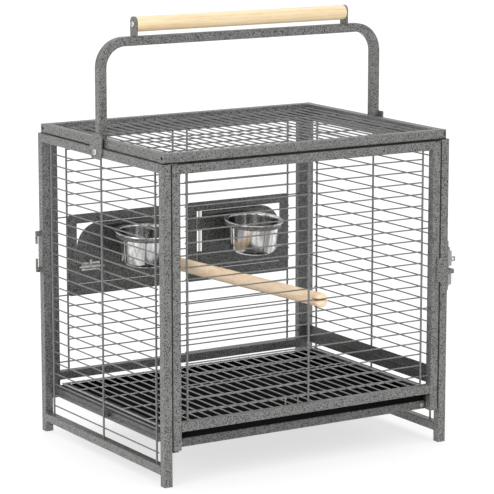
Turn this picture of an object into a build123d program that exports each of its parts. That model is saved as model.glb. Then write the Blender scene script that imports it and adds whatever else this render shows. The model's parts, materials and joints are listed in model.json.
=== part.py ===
from build123d import *
import os

# Bird travel cage of square steel tube and welded wire, in millimetres.
# X runs to the right along the front, Y to the back, Z up; the origin is on the
# floor below the middle of the cage.

# ---------------------------------------------------------------- driving sizes
WIDTH = 475.0
DEPTH = 370.0
POST_TOP = 449.0
TUBE = 12.7
WALL = 1.0
EDGE = 1.2
HALF_W = WIDTH / 2
HALF_D = DEPTH / 2
IN_X = HALF_W - TUBE
IN_Y = HALF_D - TUBE

# wire
THIN = 2.0
THICK = 3.0
LAP = 0.5
WELD_R = 2.2
WELD_LEN = 1.2
SIDE_UPRIGHTS = [-154.0, 0.0, 154.0]
SIDE_LOWEST = 42.7
SIDE_PITCH = 16.45
SIDE_COUNT = 24
SIDE_ANCHORS = [5, 11, 17]
DOOR_UPRIGHTS = [-198.2, 0.0, 194.6]
BACK_EDGE_UPRIGHT = 194.0
BACK_MID_UPRIGHT = 12.4
FACE_LOWEST = 101.5
FACE_PITCH = 16.85
FACE_COUNT = 20
FACE_ANCHORS = [0, 6, 13]

# side panels
LOW_RAIL_Z = 15.5

# front door
DOOR_GAP_LEFT = 1.7
DOOR_GAP_RIGHT = 2.4
DOOR_PROUD = 0.3
DOOR_BOTTOM = 50.0
DOOR_TOP = 447.2
DOOR_RAIL_Z = 75.6
DOOR_FRONT = -HALF_D - DOOR_PROUD
DOOR_REAR = DOOR_FRONT + TUBE
DOOR_LEFT = -IN_X + DOOR_GAP_LEFT
DOOR_RIGHT = IN_X - DOOR_GAP_RIGHT
PIVOT_INSET = 4.5
PIVOT_X = DOOR_LEFT + PIVOT_INSET
PIVOT_Y = DOOR_FRONT + PIVOT_INSET
PIVOT_R = 2.0
PIVOT_FIT = 0.06
TAB_THICK = 1.0
TAB_GAP = 0.8

# lid
LID_INSET = 3.6
LID_BOTTOM = POST_TOP + 1.0
LID_TOP = LID_BOTTOM + TUBE
LID_X = HALF_W - LID_INSET
LID_Y = HALF_D - LID_INSET
LID_PITCH = 16.6
LID_HOLE_R = 2.5
STOP_Y = -170.4
STOP_LOW = 440.0

# carrying handle
HANDLE_X = HALF_W - TUBE / 2
HANDLE_TOP = 603.1
HANDLE_BEND = 36.0
GRIP_R = 10.8
GRIP_HALF = 176.0
GRIP_Z = 620.0
GRIP_TAB = 2.4
BRACKET_THICK = 2.0
BRACKET_BOTTOM = 433.5
BRACKET_TOP = 470.0
BOLT_Z = 443.4
BOLT_Y = 2.5

# tray, its runners and the grate
RUNNER_Z = 56.0
RUNNER_TOP = RUNNER_Z + TUBE
FRONT_RAIL_Z = 50.0
FRONT_RAIL_Y = -170.5
TRAY_HALF = 208.0
TRAY_FRONT = -169.5
TRAY_BACK = 146.0
TRAY_BOTTOM = 63.3
TRAY_RIM = 74.8
TRAY_WALL = 1.2
GUIDE_INNER = 208.6
GUIDE_TOP = 74.9
LEDGE_INNER = 202.0
LEDGE_TOP = TRAY_BOTTOM - 0.2
GRATE_PITCH = 17.0
GRATE_RIM_X = 221.0

# perch
PERCH_R = 10.2
PERCH_BACK = (-8.0, 178.0, 231.8)
PERCH_END = 175.4
PERCH_FRONT = (22.0, -184.0, 234.8)
PERCH_WIRE = 8

# rear feeders (left one; the right one is its mirror image)
FEEDER_OUT = THICK / 2 + 0.05 - BACK_EDGE_UPRIGHT
FEEDER_IN = -12.5
FEEDER_LOW = 200.0
FEEDER_HIGH = 323.0
WINDOW_OUT = -178.6
WINDOW_IN = -28.5
WINDOW_LOW = 217.0
WINDOW_HIGH = 309.0
SHEET = 1.5
SHEET_Y = HALF_D - TUBE / 2 - SHEET / 2
SHEET_GAP = 0.6
DOOR_SHEET_IN = -37.7
HINGE_X = -33.1
HINGE_Y = HALF_D - TUBE / 2
HINGE_R = 2.0
KNUCKLE_R = 3.5
BOWL_X = -95.0
BOWL_Y = SHEET_Y - 57.3
BOWL_TILT = 5.0
BOWL_R = 39.5
BOWL_FOOT_R = 36.0
BOWL_DEPTH = 48.3
BOWL_FLANGE = 6.5
HOOP_TOP = 297.6
HOOP_BAND = 6.6
HOOP_BORE = 40.8
HOOP_R = 42.8
SPLASH_DEPTH = 10.8
SPLASH_OUT = -140.0

# small bolts of the feeders
SLIDE_Z = 243.0
SLIDE_R = 2.0
SLIDE_TRAVEL = 10.5

# front latch
LATCH_SEAT = HALF_W + 1.8
LATCH_X = LATCH_SEAT + 4.5
LATCH_Y = -178.5
LATCH_R = 2.0
LATCH_TIP = 261.5
LATCH_HEAD = 289.0
EAR_TOP = 258.0


# ---------------------------------------------------------------- basic shapes
def block(low, high):
    size = [b - a for a, b in zip(low, high)]
    middle = [(a + b) / 2 for a, b in zip(low, high)]
    return Pos(*middle) * Box(*size)


def tube(low, high, axis):
    """Square tube with rounded edges, open at both ends, between two corners."""
    outer = block(low, high)
    outer = fillet(outer.edges().filter_by(axis), EDGE)
    wall = [0.0 if name == axis else WALL for name in (Axis.X, Axis.Y, Axis.Z)]
    inner_low = [a + w for a, w in zip(low, wall)]
    inner_high = [b - w for b, w in zip(high, wall)]
    return outer - block(inner_low, inner_high)


def rod(start, end, radius):
    """Round bar from one point to another."""
    start = Vector(*start)
    run = Vector(*end) - start
    bar = Cylinder(radius, run.length, align=(Align.CENTER, Align.CENTER, Align.MIN))
    return Plane(origin=start, z_dir=run) * bar


def ring_tube(start, end, radius, bore):
    """Round sleeve from one point to another."""
    start = Vector(*start)
    run = Vector(*end) - start
    low = (Align.CENTER, Align.CENTER, Align.MIN)
    sleeve = Cylinder(radius, run.length, align=low) - Cylinder(bore, run.length, align=low)
    return Plane(origin=start, z_dir=run) * sleeve


def group(*shapes):
    """Several separate solids that share one node."""
    solids = [solid for shape in shapes for solid in shape.solids()]
    return Compound(children=solids)


def mirror_x(shape):
    return mirror(shape, about=Plane.YZ)


def fused(pieces):
    return pieces[0].fuse(*pieces[1:])


# ---------------------------------------------------------------- side panels
def side_post(x_sign, y_sign):
    low = (min(x_sign * IN_X, x_sign * HALF_W), min(y_sign * IN_Y, y_sign * HALF_D), 0)
    high = (low[0] + TUBE, low[1] + TUBE, POST_TOP)
    return tube(low, high, Axis.Z)


def side_rail(x_sign, bottom):
    x_low = min(x_sign * IN_X, x_sign * HALF_W)
    return tube((x_low, -IN_Y, bottom), (x_low + TUBE, IN_Y, bottom + TUBE), Axis.Y)


def side_wires(x_sign):
    """Wire field of a side: thick uprights outside, thin wires inside, three welded to the posts."""
    middle = HALF_W - TUBE / 2
    up_x = middle + THIN / 2
    wire_x = up_x - (THIN + THICK) / 2 + LAP
    wires = []
    for y in SIDE_UPRIGHTS:
        wires.append(rod((up_x, y, LOW_RAIL_Z + TUBE), (up_x, y, POST_TOP - TUBE), THICK / 2))
    for level in range(SIDE_COUNT):
        z = SIDE_LOWEST + level * SIDE_PITCH
        anchored = level in SIDE_ANCHORS
        end = IN_Y if anchored else SIDE_UPRIGHTS[-1] + THICK / 2
        wires.append(rod((wire_x, -end, z), (wire_x, end, z), THIN / 2))
        if anchored:
            wires.append(rod((wire_x, -IN_Y, z), (wire_x, WELD_LEN - IN_Y, z), WELD_R))
            wires.append(rod((wire_x, IN_Y - WELD_LEN, z), (wire_x, IN_Y, z), WELD_R))
    panel = fused(wires)
    return panel if x_sign > 0 else mirror_x(panel)


def seed_guard():
    """Folded strip inside the right side, just above the tray, with a pressed bead."""
    inner = IN_X + 1.2
    strip = block((inner, -IN_Y, 84.0), (inner + 1.2, IN_Y, 111.0))
    bead = rod((inner, 3 - IN_Y, 98.0), (inner, IN_Y - 3, 98.0), 1.0)
    return strip + bead


def foot_plugs():
    side = TUBE - 2 * WALL
    plugs = []
    for x_sign in (-1, 1):
        for y_sign in (-1, 1):
            x = x_sign * (HALF_W - TUBE / 2)
            y = y_sign * (HALF_D - TUBE / 2)
            half = side / 2
            plugs.append(block((x - half, y - half, 0), (x + half, y + half, 6)))
    return group(*plugs)


# ---------------------------------------------------------------- front door
def door_left_stile():
    return tube((DOOR_LEFT, DOOR_FRONT, DOOR_BOTTOM), (DOOR_LEFT + TUBE, DOOR_REAR, DOOR_TOP), Axis.Z)


def door_right_stile():
    return tube((DOOR_RIGHT - TUBE, DOOR_FRONT, DOOR_BOTTOM), (DOOR_RIGHT, DOOR_REAR, DOOR_TOP), Axis.Z)


def door_rail(bottom):
    low = (DOOR_LEFT + TUBE, DOOR_FRONT, bottom)
    return tube(low, (DOOR_RIGHT - TUBE, DOOR_REAR, bottom + TUBE), Axis.X)


def face_levels():
    return [FACE_LOWEST + n * FACE_PITCH for n in range(FACE_COUNT)]


def door_wires():
    """Wire field of the door: uprights in front, and three wires welded to the stiles."""
    middle = (DOOR_FRONT + DOOR_REAR) / 2
    up_y = middle - THIN / 2
    wire_y = up_y + (THIN + THICK) / 2 - LAP
    left, right = DOOR_LEFT + TUBE, DOOR_RIGHT - TUBE
    wires = []
    for x in DOOR_UPRIGHTS:
        wires.append(rod((x, up_y, DOOR_RAIL_Z + TUBE), (x, up_y, DOOR_TOP - TUBE), THICK / 2))
    ends = (DOOR_UPRIGHTS[0] - THICK / 2, DOOR_UPRIGHTS[-1] + THICK / 2)
    for index, z in enumerate(face_levels()):
        anchored = index in FACE_ANCHORS
        start, end = (left, right) if anchored else ends
        wires.append(rod((start, wire_y, z), (end, wire_y, z), THIN / 2))
        if anchored:
            wires.append(rod((left, wire_y, z), (left + WELD_LEN, wire_y, z), WELD_R))
            wires.append(rod((right - WELD_LEN, wire_y, z), (right, wire_y, z), WELD_R))
    return fused(wires)


def door_pivot_bushes():
    """Plugs in both ends of the left stile, bored for the pivot pins."""
    depth = 14.0
    half = TUBE / 2 - WALL
    x, y = DOOR_LEFT + TUBE / 2, DOOR_FRONT + TUBE / 2
    plugs = []
    for bottom in (DOOR_BOTTOM, DOOR_TOP - depth):
        plug = block((x - half, y - half, bottom), (x + half, y + half, bottom + depth))
        bore = rod((PIVOT_X, PIVOT_Y, bottom), (PIVOT_X, PIVOT_Y, bottom + depth), PIVOT_R + PIVOT_FIT)
        plugs.append(plug - bore)
    return group(*plugs)


def door_pivots():
    """Two tabs on the left front post, each with a pin that the door turns on."""
    pin = 11.0
    reach = PIVOT_X + 4.0
    pieces = []
    for tab_z, up in ((DOOR_BOTTOM - TAB_GAP - TAB_THICK, 1), (DOOR_TOP + TAB_GAP, -1)):
        tab = block((-IN_X, -HALF_D, tab_z), (reach, PIVOT_Y + 4.0, tab_z + TAB_THICK))
        start = tab_z + (TAB_THICK if up > 0 else 0)
        stem = rod((PIVOT_X, PIVOT_Y, tab_z + TAB_THICK / 2), (PIVOT_X, PIVOT_Y, start + up * pin), PIVOT_R)
        pieces.append(tab + stem)
    return group(*pieces)


def door_lock_plate():
    """Plate over the gap at the free stile, with a drilled ear that the latch bolt drops through."""
    front = DOOR_FRONT - 2.0
    plate = block((217.0, front, 240.0), (HALF_W - 1.5, DOOR_FRONT, 276.0))
    plate = fillet(plate.edges().filter_by(Axis.Y), 1.5)
    tongue = block((HALF_W - 3.0, front, EAR_TOP - 6.5), (LATCH_SEAT + 8.0, DOOR_FRONT, EAR_TOP))
    ear = block((LATCH_SEAT + 1.5, front, EAR_TOP - 2.5), (LATCH_SEAT + 8.0, -175.0, EAR_TOP))
    ear = fillet(ear.edges().filter_by(Axis.Z).group_by(Axis.Y)[-1], 2.0)
    hole = rod((LATCH_X, LATCH_Y, EAR_TOP - 3), (LATCH_X, LATCH_Y, EAR_TOP + 1), LATCH_R + 0.5)
    return plate + tongue + ear - hole


# ---------------------------------------------------------------- front latch
def latch_post():
    """Right front post with the coated plate that the latch is screwed to."""
    plate = block((HALF_W, -184.0, 226.0), (LATCH_SEAT, -172.5, 300.0))
    plate = fillet(plate.edges().filter_by(Axis.X), 2.5)
    return group(side_post(1, -1), plate)


def latch_guides():
    """Zinc plate with two guides for the drop bolt."""
    x = LATCH_SEAT
    plate = block((x, -184.0, 232.0), (x + 1.2, -173.0, 286.0))
    upper = block((x + 1.0, -182.5, 262.0), (x + 7.5, -174.5, 284.0))
    lower = block((x + 1.0, -182.5, 234.0), (x + 7.5, -174.5, 253.0))
    upper = fillet(upper.edges().filter_by(Axis.Z), 1.0)
    lower = fillet(lower.edges().filter_by(Axis.Z), 1.0)
    bore = rod((LATCH_X, LATCH_Y, 240.0), (LATCH_X, LATCH_Y, 290.0), LATCH_R + 0.06)
    slot = block((LATCH_X, LATCH_Y - 1.7, 260.0), (x + 9.0, LATCH_Y + 1.7, 290.0))
    return plate + upper + lower - bore - slot


def latch_bolt():
    """Drop bolt with a square pull ring, drawn up."""
    stem = rod((LATCH_X, LATCH_Y, LATCH_TIP), (LATCH_X, LATCH_Y, LATCH_HEAD), LATCH_R)
    arm = rod((LATCH_X, LATCH_Y, 271.0), (249.0, LATCH_Y, 271.0), 1.2)
    ring = block((248.2, LATCH_Y - 1.0, 267.5), (255.0, LATCH_Y + 1.0, 274.5))
    ring = ring - block((249.8, LATCH_Y - 2.0, 269.1), (253.4, LATCH_Y + 2.0, 272.9))
    return stem + arm + ring


def hook_bracket():
    """Plate at the left back post with a down-turned hook above an up-turned one."""
    x, y_low, y_high = -HALF_W, IN_Y + 3.0, IN_Y + 7.0
    plate = block((x - 1.6, IN_Y, 241.0), (x, HALF_D, 303.0))
    upper = block((x - 9.5, y_low, 285.5), (x - 1.5, y_high, 304.0))
    upper = upper - block((x - 7.5, y_low - 1, 284.5), (x - 1.6, y_high + 1, 297.0))
    lower = block((x - 9.5, y_low, 243.0), (x - 1.5, y_high, 263.0))
    lower = lower - block((x - 7.5, y_low - 1, 250.0), (x - 1.6, y_high + 1, 264.0))
    return plate + upper + lower


# ---------------------------------------------------------------- back panel
def back_stile(x_sign):
    x_low = x_sign * IN_X - (TUBE if x_sign > 0 else 0)
    return tube((x_low, IN_Y, DOOR_BOTTOM), (x_low + TUBE, HALF_D, POST_TOP), Axis.Z)


def back_rail(bottom):
    inner = IN_X - TUBE
    return tube((-inner, IN_Y, bottom), (inner, HALF_D, bottom + TUBE), Axis.X)


def back_field(low, high, uprights, spans):
    """Back wires between two heights; spans are the stretches of wire at each level."""
    up_y = HALF_D - TUBE / 2 + THIN / 2
    wire_y = up_y - (THIN + THICK) / 2 + LAP
    inner = IN_X - TUBE
    wires = [rod((x, up_y, low), (x, up_y, high), THICK / 2) for x in uprights]
    for index, z in enumerate(face_levels()):
        if not low < z < high:
            continue
        for start, end in spans:
            wires.append(rod((start, wire_y, z), (end, wire_y, z), THIN / 2))
        if index in FACE_ANCHORS:
            for sign in (-1, 1):
                near = (sign * BACK_EDGE_UPRIGHT, wire_y, z)
                wires.append(rod(near, (sign * inner, wire_y, z), THIN / 2))
                wires.append(rod((sign * (inner - WELD_LEN), wire_y, z), (sign * inner, wire_y, z), WELD_R))
    return group(fused(wires))


def back_wires():
    reach = BACK_EDGE_UPRIGHT + THICK / 2
    edges = [-BACK_EDGE_UPRIGHT, BACK_EDGE_UPRIGHT]
    all_four = edges + [-BACK_MID_UPRIGHT, BACK_MID_UPRIGHT]
    beside = [(-reach, FEEDER_OUT), (FEEDER_IN, -FEEDER_IN), (-FEEDER_OUT, reach)]
    rail_top = DOOR_RAIL_Z + TUBE
    return {
        "back_wires_low": back_field(rail_top, FEEDER_LOW, all_four, [(-reach, reach)]),
        "back_wires_middle": back_field(FEEDER_LOW, FEEDER_HIGH, edges, beside),
        "back_wires_high": back_field(FEEDER_HIGH, POST_TOP - TUBE, all_four, [(-reach, reach)]),
    }


# ---------------------------------------------------------------- lid
def lid_long_rail(y_sign):
    """Front or back tube of the lid with holes in its ends; the front one carries the door stop."""
    y_low = LID_Y - TUBE if y_sign > 0 else -LID_Y
    outer = block((-LID_X, y_low, LID_BOTTOM), (LID_X, y_low + TUBE, LID_TOP))
    outer = fillet(outer.edges().filter_by(Axis.X), EDGE)
    low = (WALL - LID_X, y_low + WALL, LID_BOTTOM + WALL)
    inside = block(low, (LID_X - WALL, y_low + TUBE - WALL, LID_TOP - WALL))
    y, z = y_low + TUBE / 2, LID_BOTTOM + TUBE / 2
    right_end = LID_X + 1 if y_sign > 0 else 0
    hole = rod((-LID_X - 1, y, z), (right_end, y, z), LID_HOLE_R)
    rail = outer - inside - hole
    if y_sign > 0:
        return rail
    slot = block((LID_X - 3.8, -LID_Y - 1, z - 2.8), (LID_X - 2.0, WALL + 0.5 - LID_Y, z + 2.8))
    stop = block((-DOOR_RIGHT, STOP_Y, STOP_LOW), (DOOR_RIGHT, STOP_Y + 2.0, LID_BOTTOM))
    return group(rail - slot, stop)


def lid_side_rails():
    low = (-LID_X, TUBE - LID_Y, LID_BOTTOM)
    left = tube(low, (TUBE - LID_X, LID_Y - TUBE, LID_TOP), Axis.Y)
    return group(left, mirror_x(left))


def lid_wires():
    """Closely spaced wires from front to back over five cross wires."""
    half_x, half_y = LID_X - TUBE, LID_Y - TUBE
    top_z = LID_BOTTOM + TUBE / 2 + 1.0
    under_z = top_z - THIN + LAP
    count = int(half_x // LID_PITCH)
    wires = []
    for n in range(-count, count + 1):
        x = n * LID_PITCH
        wires.append(rod((x, -half_y, top_z), (x, half_y, top_z), THIN / 2))
    for y in (-2, -1, 0, 1, 2):
        wires.append(rod((-half_x, y * 77.0, under_z), (half_x, y * 77.0, under_z), THIN / 2))
    return fused(wires)


# ---------------------------------------------------------------- handle
def handle_tube():
    bar_z = HANDLE_TOP - TUBE / 2
    corners = [(-HANDLE_X, 0, LID_TOP), (-HANDLE_X, 0, bar_z), (HANDLE_X, 0, bar_z), (HANDLE_X, 0, LID_TOP)]
    path = FilletPolyline(*corners, radius=HANDLE_BEND)
    start = Plane(origin=corners[0], z_dir=(0, 0, 1))
    outer = sweep(start * RectangleRounded(TUBE, TUBE, EDGE), path=path)
    inner = sweep(start * Rectangle(TUBE - 2 * WALL, TUBE - 2 * WALL), path=path)
    return outer - inner


def handle_brackets():
    """Plates that tie the handle's feet to the side rails, rounded at the bottom."""
    x = HALF_W
    plate = block((x, -15.0, BRACKET_BOTTOM), (x + BRACKET_THICK, 19.0, BRACKET_TOP))
    plate = fillet(plate.edges().filter_by(Axis.X).group_by(Axis.Z)[0], 9.0)
    top_back = plate.edges().filter_by(Axis.X).group_by(Axis.Z)[-1].sort_by(Axis.Y)[-1]
    plate = chamfer(top_back, 12.0)
    plate = plate - rod((x - 1, BOLT_Y, BOLT_Z), (x + BRACKET_THICK + 1, BOLT_Y, BOLT_Z), 2.5)
    return group(plate, mirror_x(plate))


def grip_tabs():
    """Upright tabs on the handle bar with rounded tops, one at each end of the grip."""
    tab_top = GRIP_Z + 11.0
    x = GRIP_HALF + 0.2
    tab = block((x, -9.0, HANDLE_TOP), (x + GRIP_TAB, 9.0, tab_top))
    crown = tab.edges().filter_by(Axis.X).group_by(Axis.Z)[-1]
    tab = fillet(crown, 8.0)
    tab = tab - rod((x - 1, 0, GRIP_Z), (x + GRIP_TAB + 1, 0, GRIP_Z), 2.0)
    return group(tab, mirror_x(tab))


def wooden_grip():
    bar = rod((-GRIP_HALF, 0, GRIP_Z), (GRIP_HALF, 0, GRIP_Z), GRIP_R)
    bar = fillet(bar.edges(), 1.5)
    for sign in (-1, 1):
        hole = rod((sign * (GRIP_HALF + 1), 0, GRIP_Z), (sign * (GRIP_HALF - 22), 0, GRIP_Z), 2.0)
        bar = bar - hole
    return bar


def screw(tip, seat, shank_r, head_r, head_len):
    """Shank up to the seat and a domed, cross-recessed head beyond it, along one straight line."""
    run = (Vector(*seat) - Vector(*tip)).normalized()
    top = Vector(*seat) + run * head_len
    head = rod(seat, top, head_r)
    edges = head.edges().filter_by(GeomType.CIRCLE)
    head = fillet(edges.sort_by(lambda e: (e.center() - Vector(*seat)).length)[-1], head_len * 0.6)
    cross = Box(head_r * 1.1, head_r * 0.28, head_len * 0.9)
    cross = cross + Rot(0, 0, 90) * cross
    recess = Plane(origin=top, z_dir=run) * cross
    return rod(tip, Vector(*seat) + run * (head_len / 4), shank_r) + (head - recess)


def fasteners():
    """Screws of the grip, bolts of the bracket plates and screws of the low front rail."""
    out = GRIP_HALF + 0.2 + GRIP_TAB
    face = HALF_W + BRACKET_THICK
    rail_z = FRONT_RAIL_Z + TUBE / 2
    sides = [
        screw((GRIP_HALF - 21, 0, GRIP_Z), (out, 0, GRIP_Z), 2.0, 4.2, 2.4),
        screw((HALF_W, BOLT_Y, BOLT_Z), (face, BOLT_Y, BOLT_Z), 2.5, 4.6, 2.6),
        screw((205.0, FRONT_RAIL_Y + 1, rail_z), (205.0, FRONT_RAIL_Y, rail_z), 1.0, 3.0, 1.4),
    ]
    return group(*sides, *[mirror_x(piece) for piece in sides])


# ---------------------------------------------------------------- tray and floor
def front_low_rail():
    inner = IN_X - TUBE
    low = (-inner, FRONT_RAIL_Y, FRONT_RAIL_Z)
    rail = tube(low, (inner, FRONT_RAIL_Y + TUBE, FRONT_RAIL_Z + TUBE), Axis.X)
    for sign in (-1, 1):
        x, z = sign * 205.0, FRONT_RAIL_Z + TUBE / 2
        rail = rail - rod((x, FRONT_RAIL_Y - 1, z), (x, FRONT_RAIL_Y + 2, z), 1.0)
    return rail


def tray_runners():
    """Tubes under both sides of the tray, each clipped to the middle upright of the side wires."""
    inner = IN_X - TUBE
    runner = tube((inner, FRONT_RAIL_Y, RUNNER_Z), (IN_X, IN_Y, RUNNER_TOP), Axis.Y)
    reach = HALF_W - TUBE / 2 + THIN / 2 - THICK / 2
    clip = block((IN_X, -6.0, RUNNER_Z + 4.6), (reach, 6.0, RUNNER_Z + 11))
    return group(runner + clip, mirror_x(runner + clip))


def tray_guides():
    """Black strips on the runners that the tray slides between, and ledges that it slides on."""
    y_low, y_high = TRAY_FRONT + 2.0, TRAY_BACK + 1.0
    inner = IN_X - TUBE
    strip = block((GUIDE_INNER, y_low, RUNNER_TOP), (IN_X - 0.3, y_high, GUIDE_TOP))
    strip = fillet(strip.edges().filter_by(Axis.Y).group_by(Axis.Z)[-1], 0.8)
    ledge_front = FRONT_RAIL_Y + TUBE
    ledge = block((LEDGE_INNER, ledge_front, LEDGE_TOP - 1.6), (inner, y_high, LEDGE_TOP))
    return group(strip, ledge, mirror_x(strip), mirror_x(ledge))


def tray():
    """Shallow open tray; its front wall closes the gap above the low rail."""
    outer = block((-TRAY_HALF, TRAY_FRONT, TRAY_BOTTOM), (TRAY_HALF, TRAY_BACK, TRAY_RIM))
    outer = fillet(outer.edges().filter_by(Axis.Z), 3.0)
    low = (TRAY_WALL - TRAY_HALF, TRAY_FRONT + TRAY_WALL, TRAY_BOTTOM + TRAY_WALL)
    inside = block(low, (TRAY_HALF - TRAY_WALL, TRAY_BACK - TRAY_WALL, TRAY_RIM + 5))
    inside = fillet(inside.edges().filter_by(Axis.Z), 1.8)
    return outer - inside


def grate():
    """Flat wire floor: rim, wires from front to back, and cross wires underneath."""
    rim_z, wire_z, cross_z = 76.6, 77.6, 76.35
    front, back = TRAY_FRONT + 2.5, TRAY_BACK
    x = GRATE_RIM_X
    wires = []
    for side in (-x, x):
        bar = rod((side, front - 1.5, rim_z), (side, back + 1.5, rim_z), THICK / 2)
        wires.append(fillet(bar.edges().filter_by(GeomType.CIRCLE), 0.6))
    for y in (front, back):
        wires.append(rod((-x, y, rim_z), (x, y, rim_z), THICK / 2 - 0.1))
    count = 12
    for n in range(-count, count + 1):
        wires.append(rod((n * GRATE_PITCH, front, wire_z), (n * GRATE_PITCH, back, wire_z), THIN / 2))
    for y in (-100.0, -30.0, 40.0, 100.0):
        wires.append(rod((-x, y, cross_z), (x, y, cross_z), THIN / 2))
    return fused(wires)


def grate_loop():
    """Small wire pull that stands up at the grate's front edge."""
    y, low, high = TRAY_FRONT + 5.5, 78.7, 97.0
    path = FilletPolyline((-28, y, low), (-28, y, high), (-7, y, high), (-7, y, low), radius=4.0)
    start = Plane(origin=(-28, y, low), z_dir=(0, 0, 1))
    return sweep(start * Circle(THIN / 2), path=path)


# ---------------------------------------------------------------- perch
def perch():
    """Wooden bar across the cage; its front end is slotted over a wire of the door."""
    bar = rod(PERCH_BACK, PERCH_FRONT, PERCH_R)
    front_edge = bar.edges().filter_by(GeomType.CIRCLE).group_by(Axis.Y)[0]
    bar = fillet(front_edge, 4.5)
    level = FACE_LOWEST + PERCH_WIRE * FACE_PITCH
    slot = block((0, DOOR_FRONT, level - 2.0), (50, -172.0, level + 2.0))
    x, y, z = PERCH_BACK
    beyond = block((x - 20, PERCH_END, z - 20), (x + 20, PERCH_END + 20, z + 20))
    pilot = rod((x, y, z), (x, PERCH_END - 30, z), 2.5)
    return bar - slot - beyond - pilot


def perch_fixing():
    """Hanger bolt of the perch with a washer on each side of the back wires and a wing nut."""
    x, y, z = PERCH_BACK
    behind = SHEET_Y + SHEET
    before = HALF_D - TUBE / 2 - (THIN + THICK) / 2 + LAP
    stem = rod((x, PERCH_END - 30, z), (x, behind + 3.6, z), 2.5)
    inner = rod((x, PERCH_END, z), (x, before, z), 7.0)
    outer = rod((x, behind, z), (x, behind + 1.0, z), 7.0)
    nut = rod((x, behind + 1.0, z), (x, behind + 3.6, z), 4.0)
    wings = block((x - 11, behind + 1.4, z - 3.5), (x + 11, behind + 3.2, z + 3.5))
    wings = fillet(wings.edges().filter_by(Axis.Y), 3.0)
    return stem + inner + outer + nut + wings


# ---------------------------------------------------------------- feeders
def feeder_frame():
    plate = block((FEEDER_OUT, SHEET_Y, FEEDER_LOW), (FEEDER_IN, SHEET_Y + SHEET, FEEDER_HIGH))
    plate = fillet(plate.edges().filter_by(Axis.Y), 3.0)
    low = (WINDOW_OUT, SHEET_Y - 1, WINDOW_LOW)
    window = block(low, (WINDOW_IN, SHEET_Y + SHEET + 1, WINDOW_HIGH))
    return plate - window


def feeder_hinge_rods():
    left = rod((HINGE_X, HINGE_Y, WINDOW_LOW), (HINGE_X, HINGE_Y, WINDOW_HIGH), HINGE_R)
    return group(left, mirror_x(left))


def on_hoop(shape):
    """Place a shape drawn round the Z axis on the hoop, whose front sags towards the cage."""
    return Pos(BOWL_X, BOWL_Y, HOOP_TOP) * Rot(BOWL_TILT, 0, 0) * shape


def feeder_door():
    """Door plate with a large rounded corner, two knuckles, hoop arms and a splash lip."""
    out, inn = WINDOW_OUT + SHEET_GAP, DOOR_SHEET_IN
    low, high = WINDOW_LOW + SHEET_GAP, WINDOW_HIGH - SHEET_GAP
    plate = block((out, SHEET_Y, low), (inn, SHEET_Y + SHEET, high))
    corner = plate.edges().filter_by(Axis.Y).group_by(Axis.X)[0].sort_by(Axis.Z)[-1]
    plate = fillet(corner, 37.0)
    for z in (228.0, 280.0):
        knuckle = ring_tube((HINGE_X, HINGE_Y, z), (HINGE_X, HINGE_Y, z + 18), KNUCKLE_R, HINGE_R + 0.06)
        web = block((inn - 2, SHEET_Y, z), (HINGE_X - HINGE_R - 0.6, SHEET_Y + SHEET, z + 18))
        plate = plate + web + knuckle
    lip_low = (SPLASH_OUT, SHEET_Y - SPLASH_DEPTH, high - 3.2)
    lip = block(lip_low, (inn - 1.0, SHEET_Y + 0.2, high - 2.0))
    for sign in (-1, 1):
        arm_x = BOWL_X + sign * 26.0
        low_z, high_z = HOOP_TOP - 2.6, HOOP_TOP + 2.0
        plate = plate + block((arm_x - 3, BOWL_Y + 30.0, low_z), (arm_x + 3, SHEET_Y + 0.2, high_z))
    return plate + lip - on_hoop(Cylinder(HOOP_R, 30))


def feeder_ring():
    """Flat hoop on the door that the bowl hangs in."""
    return on_hoop(ring_tube((0, 0, -HOOP_BAND), (0, 0, 0), HOOP_R, HOOP_BORE))


def bowl():
    """Deep round bowl with a wide rolled rim that rests on the hoop."""
    wall = 0.9
    low = (Align.CENTER, Align.CENTER, Align.MIN)
    outer = Cone(BOWL_FOOT_R, BOWL_R, BOWL_DEPTH, align=low)
    outer = fillet(outer.edges().group_by(Axis.Z)[0], 7.0)
    inner = Pos(0, 0, wall) * Cone(BOWL_FOOT_R - wall, BOWL_R - wall, BOWL_DEPTH, align=low)
    inner = fillet(inner.edges().group_by(Axis.Z)[0], 6.1)
    flange = Pos(0, 0, BOWL_DEPTH) * Cylinder(BOWL_R + BOWL_FLANGE, 1.6, align=low)
    flange = fillet(flange.edges(), 0.6)
    through = Pos(0, 0, BOWL_DEPTH - 1) * Cylinder(BOWL_R - wall, 5, align=low)
    return on_hoop(Pos(0, 0, -BOWL_DEPTH) * (outer - inner + (flange - through)))


def slide_y():
    return SHEET_Y - 1.2 - KNUCKLE_R + 0.1


def feeder_bolt_barrel():
    """Barrel of the door bolt on its base plate, slotted on top for the knob."""
    y = slide_y()
    base = block((-171.5, SHEET_Y - 1.2, SLIDE_Z - 6), (-141.5, SHEET_Y, SLIDE_Z + 6))
    barrel = rod((-169.0, y, SLIDE_Z), (-144.0, y, SLIDE_Z), KNUCKLE_R)
    bore = rod((-171.0, y, SLIDE_Z), (-142.0, y, SLIDE_Z), SLIDE_R + 0.06)
    slot = block((-171.0, y - 1.6, SLIDE_Z), (-153.5, y + 1.6, SLIDE_Z + 5))
    return base + barrel - bore - slot


def feeder_bolt():
    """Sliding rod with an upright knob, drawn back from the frame."""
    y, shift = slide_y(), SLIDE_TRAVEL
    bar = rod((-188.0 + shift, y, SLIDE_Z), (-146.0 + shift, y, SLIDE_Z), SLIDE_R)
    knob = rod((-168.5 + shift, y, SLIDE_Z), (-168.5 + shift, y, SLIDE_Z + 8), 1.3)
    ball = Pos(-168.5 + shift, y, SLIDE_Z + 8.6) * Sphere(2.2)
    return bar + knob + ball


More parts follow.
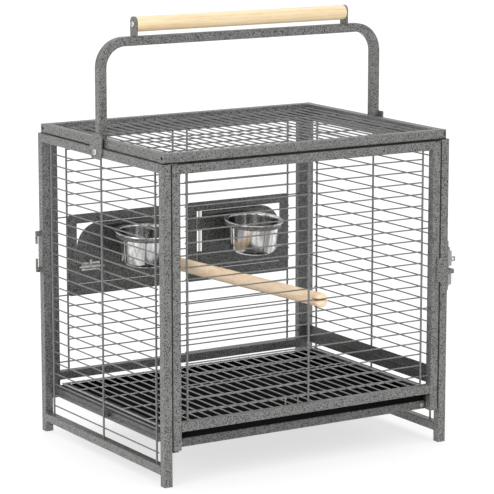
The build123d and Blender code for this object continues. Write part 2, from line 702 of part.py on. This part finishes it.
# ---------------------------------------------------------------- all nodes
def cage_nodes():
    nodes = {
        "left_front_post": side_post(-1, -1),
        "left_back_post": side_post(-1, 1),
        "right_front_post": latch_post(),
        "right_back_post": side_post(1, 1),
        "left_top_rail": side_rail(-1, POST_TOP - TUBE),
        "left_low_rail": side_rail(-1, LOW_RAIL_Z),
        "right_top_rail": side_rail(1, POST_TOP - TUBE),
        "right_low_rail": side_rail(1, LOW_RAIL_Z),
        "left_wire_panel": side_wires(-1),
        "right_wire_panel": side_wires(1),
        "seed_guard": seed_guard(),
        "foot_plugs": foot_plugs(),
        "back_left_stile": back_stile(-1),
        "back_right_stile": back_stile(1),
        "back_top_rail": back_rail(POST_TOP - TUBE),
        "back_low_rail": back_rail(DOOR_RAIL_Z),
        "hook_bracket": hook_bracket(),
        "latch_guides": latch_guides(),
        "door_pivots": door_pivots(),
        "perch": perch(),
        "perch_fixing": perch_fixing(),
    }
    nodes.update(back_wires())
    return nodes


def door_nodes():
    return {
        "door_left_stile": door_left_stile(),
        "door_right_stile": door_right_stile(),
        "door_top_rail": door_rail(DOOR_TOP - TUBE),
        "door_low_rail": door_rail(DOOR_RAIL_Z),
        "door_wire_panel": door_wires(),
        "door_pivot_bushes": door_pivot_bushes(),
        "door_lock_plate": door_lock_plate(),
        "latch_bolt": latch_bolt(),
    }


def top_nodes():
    return {
        "lid_front_rail": lid_long_rail(-1),
        "lid_back_rail": lid_long_rail(1),
        "lid_side_rails": lid_side_rails(),
        "lid_wire_panel": lid_wires(),
        "handle_tube": handle_tube(),
        "handle_brackets": handle_brackets(),
        "grip_tabs": grip_tabs(),
        "wooden_grip": wooden_grip(),
        "fasteners": fasteners(),
    }


def floor_nodes():
    return {
        "front_low_rail": front_low_rail(),
        "tray_runners": tray_runners(),
        "tray_guides": tray_guides(),
        "tray": tray(),
        "grate": grate(),
        "grate_loop": grate_loop(),
    }


def feeder_nodes():
    nodes = {"feeder_hinge_rods": feeder_hinge_rods()}
    left = {
        "feeder_frame": feeder_frame(),
        "feeder_door": feeder_door(),
        "feeder_ring": feeder_ring(),
        "bowl": bowl(),
        "feeder_bolt_barrel": feeder_bolt_barrel(),
        "feeder_bolt": feeder_bolt(),
    }
    for name, shape in left.items():
        nodes["left_" + name] = shape
        nodes["right_" + name] = mirror_x(shape)
    return nodes


def main():
    os.makedirs("parts", exist_ok=True)
    nodes = {}
    for batch in (cage_nodes, door_nodes, top_nodes, floor_nodes, feeder_nodes):
        nodes.update(batch())
    for name, shape in nodes.items():
        export_step(shape, f"parts/{name}.step")
    print(len(nodes), "nodes written")


main()
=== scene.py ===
import itertools
import json
import math

import bmesh
import bpy
from mathutils import Matrix, Vector


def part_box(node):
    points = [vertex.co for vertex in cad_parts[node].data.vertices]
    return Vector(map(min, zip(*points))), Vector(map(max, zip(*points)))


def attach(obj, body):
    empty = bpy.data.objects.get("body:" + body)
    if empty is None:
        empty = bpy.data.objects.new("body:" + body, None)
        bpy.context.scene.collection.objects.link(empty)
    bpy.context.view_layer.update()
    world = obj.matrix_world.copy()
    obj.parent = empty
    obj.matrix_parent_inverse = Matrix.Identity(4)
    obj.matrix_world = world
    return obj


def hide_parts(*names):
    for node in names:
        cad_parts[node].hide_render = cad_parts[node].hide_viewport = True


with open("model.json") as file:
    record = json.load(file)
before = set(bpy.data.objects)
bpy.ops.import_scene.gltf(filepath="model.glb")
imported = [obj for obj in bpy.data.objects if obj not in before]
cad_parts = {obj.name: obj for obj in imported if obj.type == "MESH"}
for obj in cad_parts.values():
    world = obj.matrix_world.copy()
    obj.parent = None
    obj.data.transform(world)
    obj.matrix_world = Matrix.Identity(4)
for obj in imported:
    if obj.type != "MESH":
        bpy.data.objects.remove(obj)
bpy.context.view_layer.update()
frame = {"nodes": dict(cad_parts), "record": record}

NODES = frame["nodes"]
MM = 0.001


# The Mix node names its colour, float and vector sockets alike, so these are found by number.
COLOUR_A, COLOUR_B, COLOUR_OUT = 6, 7, 2


# ---------------------------------------------------------------- node helpers
class Tree:
    """Short way to write a material's node tree."""

    def __init__(self, name):
        self.mat = bpy.data.materials.new(name)
        self.mat.use_nodes = True
        self.nodes = self.mat.node_tree.nodes
        self.links = self.mat.node_tree.links
        self.bsdf = next(n for n in self.nodes if n.type == "BSDF_PRINCIPLED")
        self.coord = self.nodes.new("ShaderNodeTexCoord").outputs["Object"]

    def put(self, socket, value):
        if hasattr(value, "links"):
            self.links.new(value, socket)
        elif value is not None:
            socket.default_value = value

    def mapped(self, scale=(1, 1, 1), location=(0, 0, 0), vector=None):
        node = self.nodes.new("ShaderNodeMapping")
        self.put(node.inputs["Vector"], vector or self.coord)
        node.inputs["Scale"].default_value = scale
        node.inputs["Location"].default_value = location
        return node.outputs["Vector"]

    def noise(self, scale, detail=2.0, rough=0.5, vector=None):
        node = self.nodes.new("ShaderNodeTexNoise")
        self.put(node.inputs["Vector"], vector or self.coord)
        node.inputs["Scale"].default_value = scale
        node.inputs["Detail"].default_value = detail
        node.inputs["Roughness"].default_value = rough
        return node.outputs["Fac"]

    def cells(self, scale, feature="F1", vector=None, smooth=None):
        node = self.nodes.new("ShaderNodeTexVoronoi")
        node.feature = feature
        self.put(node.inputs["Vector"], vector or self.coord)
        node.inputs["Scale"].default_value = scale
        if smooth is not None:
            node.inputs["Smoothness"].default_value = smooth
        return node.outputs["Distance"]

    def rings(self, scale, vector, distortion, detail, detail_scale, axis):
        node = self.nodes.new("ShaderNodeTexWave")
        node.wave_type = "RINGS"
        node.rings_direction = axis
        node.wave_profile = "SAW"
        self.put(node.inputs["Vector"], vector)
        node.inputs["Scale"].default_value = scale
        node.inputs["Distortion"].default_value = distortion
        node.inputs["Detail"].default_value = detail
        node.inputs["Detail Scale"].default_value = detail_scale
        return node.outputs["Fac"]

    def ramp(self, fac, stops):
        node = self.nodes.new("ShaderNodeValToRGB")
        self.put(node.inputs["Fac"], fac)
        ramp = node.color_ramp
        while len(ramp.elements) < len(stops):
            ramp.elements.new(0.5)
        for element, (place, colour) in zip(ramp.elements, stops):
            element.position = place
            element.color = (*colour, 1.0)
        return node.outputs["Color"]

    def remap(self, value, low, high, to_low, to_high):
        node = self.nodes.new("ShaderNodeMapRange")
        self.put(node.inputs["Value"], value)
        node.inputs["From Min"].default_value = low
        node.inputs["From Max"].default_value = high
        node.inputs["To Min"].default_value = to_low
        node.inputs["To Max"].default_value = to_high
        return node.outputs["Result"]

    def math(self, kind, a, b):
        node = self.nodes.new("ShaderNodeMath")
        node.operation = kind
        self.put(node.inputs[0], a)
        self.put(node.inputs[1], b)
        return node.outputs["Value"]

    def mix(self, fac, a, b, kind="MIX"):
        node = self.nodes.new("ShaderNodeMix")
        node.data_type = "RGBA"
        node.blend_type = kind
        self.put(node.inputs["Factor"], fac)
        self.put(node.inputs[COLOUR_A], a)
        self.put(node.inputs[COLOUR_B], b)
        return node.outputs[COLOUR_OUT]

    def bump(self, height, strength, distance, below=None):
        node = self.nodes.new("ShaderNodeBump")
        node.inputs["Strength"].default_value = strength
        node.inputs["Distance"].default_value = distance
        self.put(node.inputs["Height"], height)
        if below is not None:
            self.links.new(below, node.inputs["Normal"])
        return node.outputs["Normal"]

    def finish(self, colour, rough, metallic=0.0, normal=None, coat=0.0, coat_rough=0.1):
        inputs = self.bsdf.inputs
        self.put(inputs["Base Color"], colour)
        self.put(inputs["Roughness"], rough)
        inputs["Metallic"].default_value = metallic
        inputs["Coat Weight"].default_value = coat
        inputs["Coat Roughness"].default_value = coat_rough
        inputs["IOR"].default_value = 1.5
        if normal is not None:
            self.links.new(normal, inputs["Normal"])
        return self.mat


def grey(value, warm=0.0):
    return (value * (1 + warm), value, value * (1 - warm))


# ---------------------------------------------------------------- materials
def hammertone(name, tone, contrast=1.0):
    """Speckled hammered powder coat: light and dark flecks about a millimetre wide.

    A higher contrast narrows the band of middle tones between them.
    """
    t = Tree(name)
    fleck = t.noise(700, 1.5, 0.7)
    pit = t.cells(540, "SMOOTH_F1", smooth=0.45)
    mottle = t.noise(38, 3.0, 0.6)
    mask = t.math("ADD", t.math("MULTIPLY", fleck, 0.74), t.math("MULTIPLY", pit, 0.36))
    spread = 0.105 / contrast
    middle = 0.475
    stops = [
        (middle - spread, grey(tone * 0.20, -0.02)),
        (middle - spread * 0.3, grey(tone * 0.62, -0.01)),
        (middle + spread * 0.3, grey(tone * 1.30)),
        (middle + spread, grey(tone * 3.4, 0.01)),
    ]
    flecks = t.ramp(mask, stops)
    tint = t.ramp(mottle, [(0.3, (0.885, 0.91, 0.885)), (0.7, (1.03, 1.055, 1.02))])
    colour = t.mix(1.0, flecks, tint, "MULTIPLY")
    rough = t.remap(fleck, 0.3, 0.7, 0.50, 0.34)
    fine = t.bump(fleck, 0.28, 0.00016)
    normal = t.bump(pit, 0.45, 0.00030, fine)
    return t.finish(colour, rough, 0.18, normal, coat=0.25, coat_rough=0.22)


def wire_coat(name, tone):
    """Thin silvery coat on drawn wire, with fine flecks."""
    t = Tree(name)
    fleck = t.noise(1150, 2.0, 0.7)
    slow = t.noise(60, 2.0, 0.5)
    stops = [
        (0.34, grey(tone * 0.45)),
        (0.47, grey(tone * 0.86)),
        (0.56, grey(tone * 1.15)),
        (0.68, grey(tone * 1.7)),
    ]
    flecks = t.ramp(fleck, stops)
    tint = t.ramp(slow, [(0.3, (0.86, 0.87, 0.88)), (0.7, (1.08, 1.08, 1.07))])
    colour = t.mix(1.0, flecks, tint, "MULTIPLY")
    normal = t.bump(fleck, 0.30, 0.00012)
    return t.finish(colour, t.remap(fleck, 0.3, 0.7, 0.46, 0.30), 0.30, normal, coat=0.2, coat_rough=0.2)


def black_sheet(name):
    """Black coated sheet with a fine orange-peel surface and faint rub marks."""
    t = Tree(name)
    peel = t.noise(900, 1.0, 0.5)
    rub = t.noise(9, 4.0, 0.7, t.mapped((1.0, 14.0, 1.0)))
    colour = t.ramp(rub, [(0.35, grey(0.003)), (0.60, grey(0.005)), (0.75, grey(0.013))])
    rough = t.remap(rub, 0.3, 0.75, 0.40, 0.56)
    t.bsdf.inputs["Specular IOR Level"].default_value = 0.0
    return t.finish(colour, rough, 0.0, t.bump(peel, 0.30, 0.00010), coat=0.06, coat_rough=0.35)


def black_plastic(name):
    """Moulded black plastic with a fine matt grain."""
    t = Tree(name)
    grain = t.noise(2200, 2.0, 0.6)
    slow = t.noise(45, 2.0, 0.5)
    colour = t.ramp(slow, [(0.3, grey(0.009)), (0.7, grey(0.016))])
    return t.finish(colour, t.remap(slow, 0.3, 0.7, 0.48, 0.60), 0.0, t.bump(grain, 0.35, 0.00008))


def drawn_out(along, scale):
    """Scale for a texture drawn out along one axis; the smaller the scale, the longer its marks."""
    return [scale if axis == along else 1.0 for axis in "XYZ"]


def wood(name, along, centre, light, dark, pore, ring_scale, coat, rough_low, rough_high):
    """Turned wood: growth rings about an axis beside the bar, long fibres and short pores."""
    t = Tree(name)
    moved = t.mapped(location=[-c for c in centre])
    local = t.mapped(drawn_out(along, 0.045), vector=moved)
    ring = t.rings(ring_scale, local, 5.5, 3.0, 1.4, along)
    fibre = t.noise(620, 3.0, 0.65, local)
    broad = t.noise(70, 3.0, 0.6, local)
    fleck = t.cells(900, vector=t.mapped(drawn_out(along, 0.16), vector=moved))
    between = tuple(0.55 * a + 0.45 * b for a, b in zip(light, dark))
    base = t.ramp(ring, [(0.0, light), (0.72, between), (1.0, dark)])
    warm = t.ramp(broad, [(0.3, (0.90, 0.86, 0.80)), (0.7, (1.07, 1.06, 1.05))])
    base = t.mix(1.0, base, warm, "MULTIPLY")
    streak = t.ramp(fibre, [(0.30, (0.80, 0.74, 0.66)), (0.55, (1.0, 1.0, 1.0))])
    base = t.mix(0.75, base, streak, "MULTIPLY")
    pores = t.remap(fleck, 0.05, 0.17, 1.0, 0.0)
    gate = t.remap(t.noise(150, 2.0, 0.5, local), 0.48, 0.62, 0.0, 1.0)
    colour = t.mix(t.math("MULTIPLY", t.math("MULTIPLY", pores, gate), 0.6), base, (*pore, 1.0))
    rough = t.remap(fibre, 0.3, 0.7, rough_high, rough_low)
    first = t.bump(fibre, 0.22, 0.00018)
    normal = t.bump(t.math("MULTIPLY", pores, -1.0), 0.25, 0.00012, first)
    return t.finish(colour, rough, 0.0, normal, coat=coat, coat_rough=0.16)


def steel(name, tone, warm, rough_low, rough_high, stretch):
    """Satin steel with fine drawn lines and a slight smear."""
    t = Tree(name)
    lines = t.noise(900, 2.0, 0.6, t.mapped(stretch))
    smear = t.noise(140, 3.0, 0.6)
    colour = t.ramp(smear, [(0.3, grey(tone * 0.93, warm)), (0.7, grey(tone * 1.03, warm))])
    rough = t.remap(smear, 0.3, 0.7, rough_low, rough_high)
    return t.finish(colour, rough, 1.0, t.bump(lines, 0.10, 0.00004))


def drawn_steel(name, centre):
    """Deep-drawn steel: upright bands in the colour that are painted reflection streaks, and fine rings
    turned about the bowl's axis.
    """
    t = Tree(name)
    rings = t.rings(260.0, t.mapped(location=[-c for c in centre]), 0.6, 2.0, 2.0, "Z")
    reflection_streaks = t.noise(52, 1.5, 0.45, t.mapped((1.0, 1.0, 0.04)))
    smear = t.noise(90, 3.0, 0.6)
    # Dark and bright stops of the upright bands: painted reflection streaks in the colour.
    stops = [
        (0.36, grey(0.30, 0.03)),
        (0.45, grey(0.74, 0.02)),
        (0.53, grey(0.50, -0.01)),
        (0.62, grey(0.84)),
    ]
    tint = t.ramp(smear, [(0.3, grey(0.92)), (0.7, grey(1.04))])
    colour = t.mix(1.0, t.ramp(reflection_streaks, stops), tint, "MULTIPLY")
    return t.finish(colour, t.remap(smear, 0.3, 0.7, 0.10, 0.17), 1.0, t.bump(rings, 0.10, 0.00004))


HAMMER = hammertone("hammertone_grey", 0.062, contrast=1.35)
# Darker copy of the same hammertone for the inside parts: painted shade.
HAMMER_PAINTED_SHADE = hammertone("hammertone_grey_shaded", 0.040, contrast=1.1)
WIRE = wire_coat("wire_silver_grey", 0.175)
GRATE_WIRE = wire_coat("wire_silver_grate", 0.40)
TRAY = black_sheet("tray_black")
PLASTIC = black_plastic("plastic_black")
GRIP = wood(
    "grip_maple", "X", centre=(0, 0.05, 0.655),
    light=(0.94, 0.79, 0.53), dark=(0.85, 0.64, 0.38), pore=(0.50, 0.33, 0.18),
    ring_scale=38.0, coat=0.45, rough_low=0.28, rough_high=0.42,
)
PERCH = wood(
    "perch_beech", "Y", centre=(0.045, 0, 0.20),
    light=(0.94, 0.77, 0.58), dark=(0.87, 0.66, 0.46), pore=(0.58, 0.38, 0.24),
    ring_scale=30.0, coat=0.0, rough_low=0.55, rough_high=0.72,
)
SATIN = steel("satin_steel", 0.66, 0.015, 0.26, 0.38, (1.0, 1.0, 0.06))
ZINC = steel("zinc_latch", 0.36, 0.02, 0.34, 0.50, (1.0, 1.0, 0.06))
# Middle of each bowl's hoop at its top in millimetres, and its lean forward, both as in the CAD.
BOWL_X, BOWL_Y, HOOP_TOP = 95.0, 120.6, 297.6
BOWL_TILT = math.radians(5.0)
BOWLS = {
    "left": drawn_steel("bowl_left_stainless", (-BOWL_X * MM, BOWL_Y * MM, 0)),
    "right": drawn_steel("bowl_right_stainless", (BOWL_X * MM, BOWL_Y * MM, 0)),
}


def paint(obj, material):
    obj.data.materials.clear()
    obj.data.materials.append(material)


# Inside parts painted with the darker hammertone copy: painted shade where the inside of the cage is less
# lit.
PAINTED_SHADE_NODES = {
    "back_left_stile", "back_right_stile", "back_low_rail", "back_top_rail", "seed_guard", "tray_runners",
    "left_feeder_frame", "right_feeder_frame", "left_feeder_door", "right_feeder_door",
    "front_low_rail",
}
BY_SLOT = {
    "hammertone_grey": HAMMER, "wire_grey": WIRE, "black_plastic": PLASTIC, "black_tray": TRAY,
    "grip_wood": GRIP, "perch_wood": PERCH, "satin_steel": SATIN, "stainless": SATIN,
}
SPECIAL = {"grate": GRATE_WIRE, "grate_loop": GRATE_WIRE, "latch_guides": ZINC, "latch_bolt": ZINC}
for sub in frame["record"]["subparts"]:
    name = sub["node"]
    slot_name = sub["material_slot"]
    material = HAMMER_PAINTED_SHADE if name in PAINTED_SHADE_NODES else BY_SLOT[slot_name]
    material = SPECIAL.get(name, material)
    paint(NODES[name], material)
for side, material in BOWLS.items():
    paint(NODES[f"{side}_bowl"], material)


# ---------------------------------------------------------------- made pieces
def piece(name, bm, material, body):
    """Smooth-shaded object from a bmesh, on a body and with a material slot."""
    mesh = bpy.data.meshes.new(name)
    bm.to_mesh(mesh)
    bm.free()
    mesh.polygons.foreach_set("use_smooth", [True] * len(mesh.polygons))
    obj = bpy.data.objects.new(name, mesh)
    bpy.context.scene.collection.objects.link(obj)
    paint(obj, material)
    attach(obj, body)
    return obj


def drops(name, spots, material, body):
    """Many small rounded weld drops in one mesh; a spot is (centre, half sizes), in millimetres."""
    bm = bmesh.new()
    for index, (centre, half) in enumerate(spots):
        turn = Matrix.Rotation(index * DROP_TURN, 4, "Z") @ Matrix.Rotation(index * DROP_TUMBLE, 4, "X")
        size = Matrix.Diagonal((*[h * MM for h in half], 1.0))
        place = Matrix.Translation(Vector(centre) * MM)
        bmesh.ops.create_icosphere(bm, subdivisions=2, radius=1.0, matrix=place @ size @ turn)
    piece(name, bm, material, body)


def lengthwise(axis, along, across):
    """Half sizes of a drop that is longer along one axis."""
    return [along if name == axis else across for name in "XYZ"]


def bead(start, end, seed):
    """Spots for a rippled weld bead from one point to another."""
    start, end = Vector(start), Vector(end)
    count = max(3, int((end - start).length / (BEAD_R * 0.95)))
    spots = []
    for n in range(count + 1):
        wave = math.sin(seed * 7.3 + n * 2.17)
        spots.append((start.lerp(end, n / count), [BEAD_R * (1.0 + 0.12 * wave)] * 3))
    return spots


def corners(node_low, node_high):
    """Lowest corner of one node and highest corner of another, in millimetres."""
    low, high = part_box(node_low)[0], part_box(node_high)[1]
    return low / MM, high / MM


def opening(below, above):
    """Heights of the gap between a node and the one above it, in millimetres."""
    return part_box(below)[1].z / MM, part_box(above)[0].z / MM


LATHE_SEGMENTS = 96
# Radians from one weld drop to the next, so that no two lie alike.
DROP_TURN, DROP_TUMBLE = 2.399, 1.1
# Sizes of the weld drops and beads, in millimetres.
BEAD_R = 0.95
BEAD_INSET = 1.4
DROP_LONG, DROP_WIDE = 2.1, 1.25
LID_DROP = (1.2, 1.9, 1.0)
GRATE_DROP = (1.15, 1.7, 0.8)
# Places of the wires' crossings in millimetres, and the tube's width.
TUBE = 12.7
DOOR_WELD_Y = -178.75
BACK_WELD_Y = 178.45
SIDE_WELD_X = 230.95
LID_WELD_Z = 456.6
LID_WIRE_PITCH, LID_UPRIGHT_PITCH = 16.6, 77.0
GRATE_WELD_Z = 77.0
GRATE_WIRE_PITCH = 17.0
GRATE_BARS = (-100.0, -30.0, 40.0, 100.0)
DOOR_UPRIGHTS = (-198.2, 0.0, 194.6)
BACK_UPRIGHTS = (-194.0, -12.4, 12.4, 194.0)
SIDE_UPRIGHTS = (-154.0, 0.0, 154.0)
FACE_LEVELS = [101.5 + 16.85 * n for n in range(20)]
SIDE_LEVELS = [42.7 + 16.45 * n for n in range(24)]
# No welds between the two feeders: from one height to another, and this near the middle.
FEEDER_LOW, FEEDER_HIGH, FEEDER_NEAR = 200, 323, 20


def wire_welds():
    """The small welds where wires cross."""
    across = lengthwise("X", DROP_LONG, DROP_WIDE)
    door = [((x, DOOR_WELD_Y, z), across) for x in DOOR_UPRIGHTS for z in FACE_LEVELS]
    drops("welds_door_wires", door, WIRE, "front_door")
    back = []
    for x in BACK_UPRIGHTS:
        for z in FACE_LEVELS:
            between_feeders = FEEDER_LOW < z < FEEDER_HIGH and abs(x) < FEEDER_NEAR
            if not between_feeders:
                back.append(((x, BACK_WELD_Y, z), across))
    drops("welds_back_wires", back, WIRE, "cage")
    along = lengthwise("Y", DROP_LONG, DROP_WIDE)
    for name, sign in (("left", -1), ("right", 1)):
        side = [((sign * SIDE_WELD_X, y, z), along) for y in SIDE_UPRIGHTS for z in SIDE_LEVELS]
        drops(f"welds_{name}_wires", side, WIRE, "cage")
    lid = []
    for n in range(-13, 14):
        for m in range(-2, 3):
            lid.append(((n * LID_WIRE_PITCH, m * LID_UPRIGHT_PITCH, LID_WELD_Z), LID_DROP))
    drops("welds_lid_wires", lid, WIRE, "cage")
    grate = []
    for n in range(-12, 13):
        for y in GRATE_BARS:
            grate.append(((n * GRATE_WIRE_PITCH, y, GRATE_WELD_Z), GRATE_DROP))
    drops("welds_grate_wires", grate, GRATE_WIRE, "grate")


def bead_across(low, high, x, z, seed):
    """Bead along Y between two boxes' sides, at one x and height."""
    return bead((x, low.y + BEAD_INSET, z), (x, high.y - BEAD_INSET, z), seed)


def frame_welds():
    """Rippled beads in the inner corners of the tube frames; each has its own seed, from 2 up."""
    seeds = itertools.count(2)
    door = []
    low, high = corners("door_low_rail", "door_top_rail")
    for x in (low.x, high.x):
        for z in opening("door_low_rail", "door_top_rail"):
            door += bead_across(low, high, x, z, next(seeds))
    drops("welds_door_frame", door, HAMMER, "front_door")
    cage = []
    low, high = corners("back_low_rail", "back_top_rail")
    for x in (low.x, high.x):
        for z in opening("back_low_rail", "back_top_rail"):
            cage += bead_across(low, high, x, z, next(seeds))
    for side in ("left", "right"):
        rails = (f"{side}_low_rail", f"{side}_top_rail")
        low, high = corners(*rails)
        for z in opening(*rails):
            for y in (low.y, high.y):
                cage += bead((low.x + BEAD_INSET, y, z), (high.x - BEAD_INSET, y, z), next(seeds))
    low, high = corners("lid_side_rails", "lid_side_rails")
    for x in (low.x + TUBE, high.x - TUBE):
        for y in (low.y, high.y):
            cage += bead((x, y, low.z + BEAD_INSET), (x, y, high.z - BEAD_INSET), next(seeds))
    low, high = corners("handle_tube", "handle_tube")
    for x in (low.x + TUBE, high.x - TUBE):
        cage += bead_across(low, high, x, low.z, next(seeds))
    drops("welds_cage_frame", cage, HAMMER, "cage")


def lathe(name, profile, place, material, body):
    """Round piece turned from a closed profile of (radius, height) pairs in millimetres, then placed."""
    bm = bmesh.new()
    rings = []
    for radius, height in profile:
        ring = []
        for n in range(LATHE_SEGMENTS):
            angle = 2 * math.pi * n / LATHE_SEGMENTS
            spot = Vector((radius * math.cos(angle), radius * math.sin(angle), height))
            ring.append(bm.verts.new(place @ (spot * MM)))
        rings.append(ring)
    for a, b in zip(rings, rings[1:] + rings[:1]):
        for n in range(LATHE_SEGMENTS):
            m = (n + 1) % LATHE_SEGMENTS
            bm.faces.new((a[n], a[m], b[m], b[n]))
    bmesh.ops.recalc_face_normals(bm, faces=bm.faces)
    return piece(name, bm, material, body)


def arc(centre, radius, start, end, steps):
    """Points on an arc in the (radius, height) plane; angles in degrees."""
    points = []
    for n in range(steps + 1):
        angle = math.radians(start + (end - start) * n / steps)
        points.append((centre[0] + radius * math.cos(angle), centre[1] + radius * math.sin(angle)))
    return points


def bowl_profile():
    """Closed wall of a pressed bowl about its axis, the hoop's top at height zero."""
    foot, wall = -48.1, 0.8
    outside = [(0.05, foot + 1.1), (8.0, foot + 1.1), (24.0, foot + 1.1)]
    outside += arc((27.4, foot + 1.2), 1.2, -150, -60, 4)
    outside += arc((28.0, foot + 8.0), 8.0, -64, -8, 10)
    outside += [(37.4, foot + 24.0), (38.9, -4.0), (39.2, -0.6), (39.8, 0.1), (43.2, 0.2)]
    roll = arc((44.6, 0.75), 1.15, 235, 450, 14)
    lip = [(43.0, 1.35), (41.0, 1.1)] + arc((39.9, -0.6), 1.6, 85, 175, 6)
    inside = [(38.1, -4.0), (36.6, foot + 24.0)]
    inside += arc((28.0, foot + 8.0), 7.2, -8, -72, 10)
    inside += [(24.0, foot + 1.1 + wall), (8.0, foot + 1.1 + wall), (0.05, foot + 1.1 + wall)]
    return outside + roll + lip + inside


def bowls():
    profile = bowl_profile()
    for side, sign in (("left", -1), ("right", 1)):
        middle = Vector((sign * BOWL_X, BOWL_Y, HOOP_TOP)) * MM
        place = Matrix.Translation(middle) @ Matrix.Rotation(BOWL_TILT, 4, "X")
        obj = lathe(f"{side}_steel_bowl", profile, place, BOWLS[side], f"{side}_bowl")
        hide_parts(f"{side}_bowl")


wire_welds()
frame_welds()
bowls()


# ---------------------------------------------------------------- stage, light, camera
def floor():
    mesh = bpy.data.meshes.new("studio_floor")
    half = 30.0
    outline = ((-half, -half, 0), (half, -half, 0), (half, half, 0), (-half, half, 0))
    mesh.from_pydata(outline, [], [(0, 1, 2, 3)])
    obj = bpy.data.objects.new("studio_floor", mesh)
    bpy.context.scene.collection.objects.link(obj)
    t = Tree("studio_floor")
    colour = t.ramp(t.noise(3, 2.0), [(0.3, grey(0.31)), (0.7, grey(0.33))])
    paint(obj, t.finish(colour, 0.7))
    t.bsdf.inputs["Emission Color"].default_value = (1.0, 1.0, 1.0, 1.0)
    t.bsdf.inputs["Emission Strength"].default_value = 0.68


def area(name, place, target, size, power):
    lamp = bpy.data.lights.new(name, "AREA")
    lamp.shape = "RECTANGLE"
    lamp.size, lamp.size_y = size
    lamp.energy = power
    obj = bpy.data.objects.new(name, lamp)
    obj.location = place
    aim = Vector(target) - Vector(place)
    obj.rotation_euler = aim.to_track_quat("-Z", "Y").to_euler()
    bpy.context.scene.collection.objects.link(obj)


def studio():
    world = bpy.data.worlds.new("studio")
    world.use_nodes = True
    nodes, links = world.node_tree.nodes, world.node_tree.links
    back = next(n for n in nodes if n.type == "BACKGROUND")
    coord = nodes.new("ShaderNodeTexCoord")
    split = nodes.new("ShaderNodeSeparateXYZ")
    ramp = nodes.new("ShaderNodeValToRGB")
    links.new(coord.outputs["Generated"], split.inputs[0])
    links.new(split.outputs["Z"], ramp.inputs["Fac"])
    ramp.color_ramp.elements[0].color = (0.30, 0.30, 0.30, 1)
    ramp.color_ramp.elements[1].color = (1.0, 1.0, 1.0, 1)
    links.new(ramp.outputs["Color"], back.inputs["Color"])
    back.inputs["Strength"].default_value = 1.45
    bpy.context.scene.world = world
    middle = (0, 0, 0.3)
    area("key_left", (-3.4, -1.4, 1.9), middle, (1.8, 1.8), 42)
    area("front_soft", (0.8, -3.6, 1.8), middle, (1.6, 1.6), 14)


# The camera's place is in metres; the angles are those of its line of sight.
CAMERA_AZIMUTH, CAMERA_ELEVATION = math.radians(-31.651), math.radians(10.630)
CAMERA_PLACE = (-1.86653, -3.04247, 0.95454)
CAMERA_LENS = 180.69


def camera():
    cam = bpy.data.cameras.new("camera")
    cam.sensor_width = 36.0
    cam.lens = CAMERA_LENS
    cam.clip_end = 100.0
    obj = bpy.data.objects.new("camera", cam)
    az, el = CAMERA_AZIMUTH, CAMERA_ELEVATION
    back = Vector((math.sin(az) * math.cos(el), -math.cos(az) * math.cos(el), math.sin(el)))
    obj.location = CAMERA_PLACE
    obj.rotation_euler = (-back).to_track_quat("-Z", "Y").to_euler()
    bpy.context.scene.collection.objects.link(obj)
    bpy.context.scene.camera = obj


floor()
studio()
camera()
bpy.context.scene.view_settings.view_transform = "Standard"
